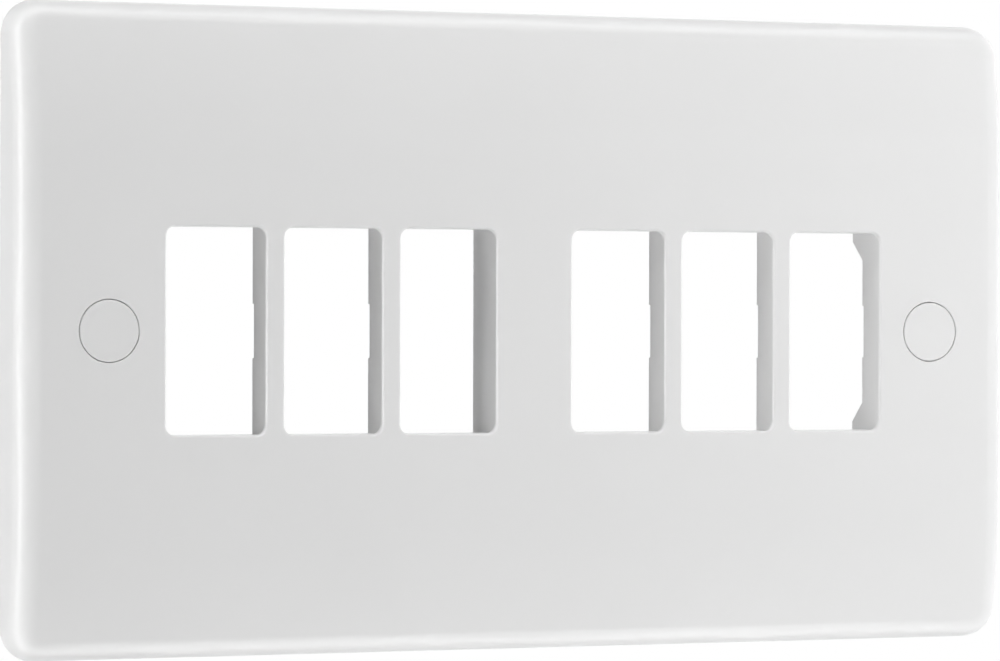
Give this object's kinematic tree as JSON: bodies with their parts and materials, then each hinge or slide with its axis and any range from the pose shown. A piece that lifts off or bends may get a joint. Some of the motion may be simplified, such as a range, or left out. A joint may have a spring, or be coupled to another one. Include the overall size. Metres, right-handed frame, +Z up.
{
  "type": "grid switch plate",
  "caption": "White moulded twin-size grid front plate with softly rounded edges, grouped upright switch apertures and flush push-in caps over the fixing screws.",
  "frame": {"origin": "middle of the plate on the wall plane, halfway between the two fixing holes", "axes": "+X to the right seen from the front, +Z up, +Y into the wall; the face looks along -Y"},
  "size_m": [0.146, 0.0085, 0.086],
  "materials": {
    "plate_plastic": "smooth white urea moulding, soft gloss",
    "cap_plastic": "smooth white moulding, soft gloss"
  },
  "bodies": {
    "root": {"front_plate": "plate_plastic", "left_screw_cap": "cap_plastic", "right_screw_cap": "cap_plastic"}
  },
  "joints": []
}
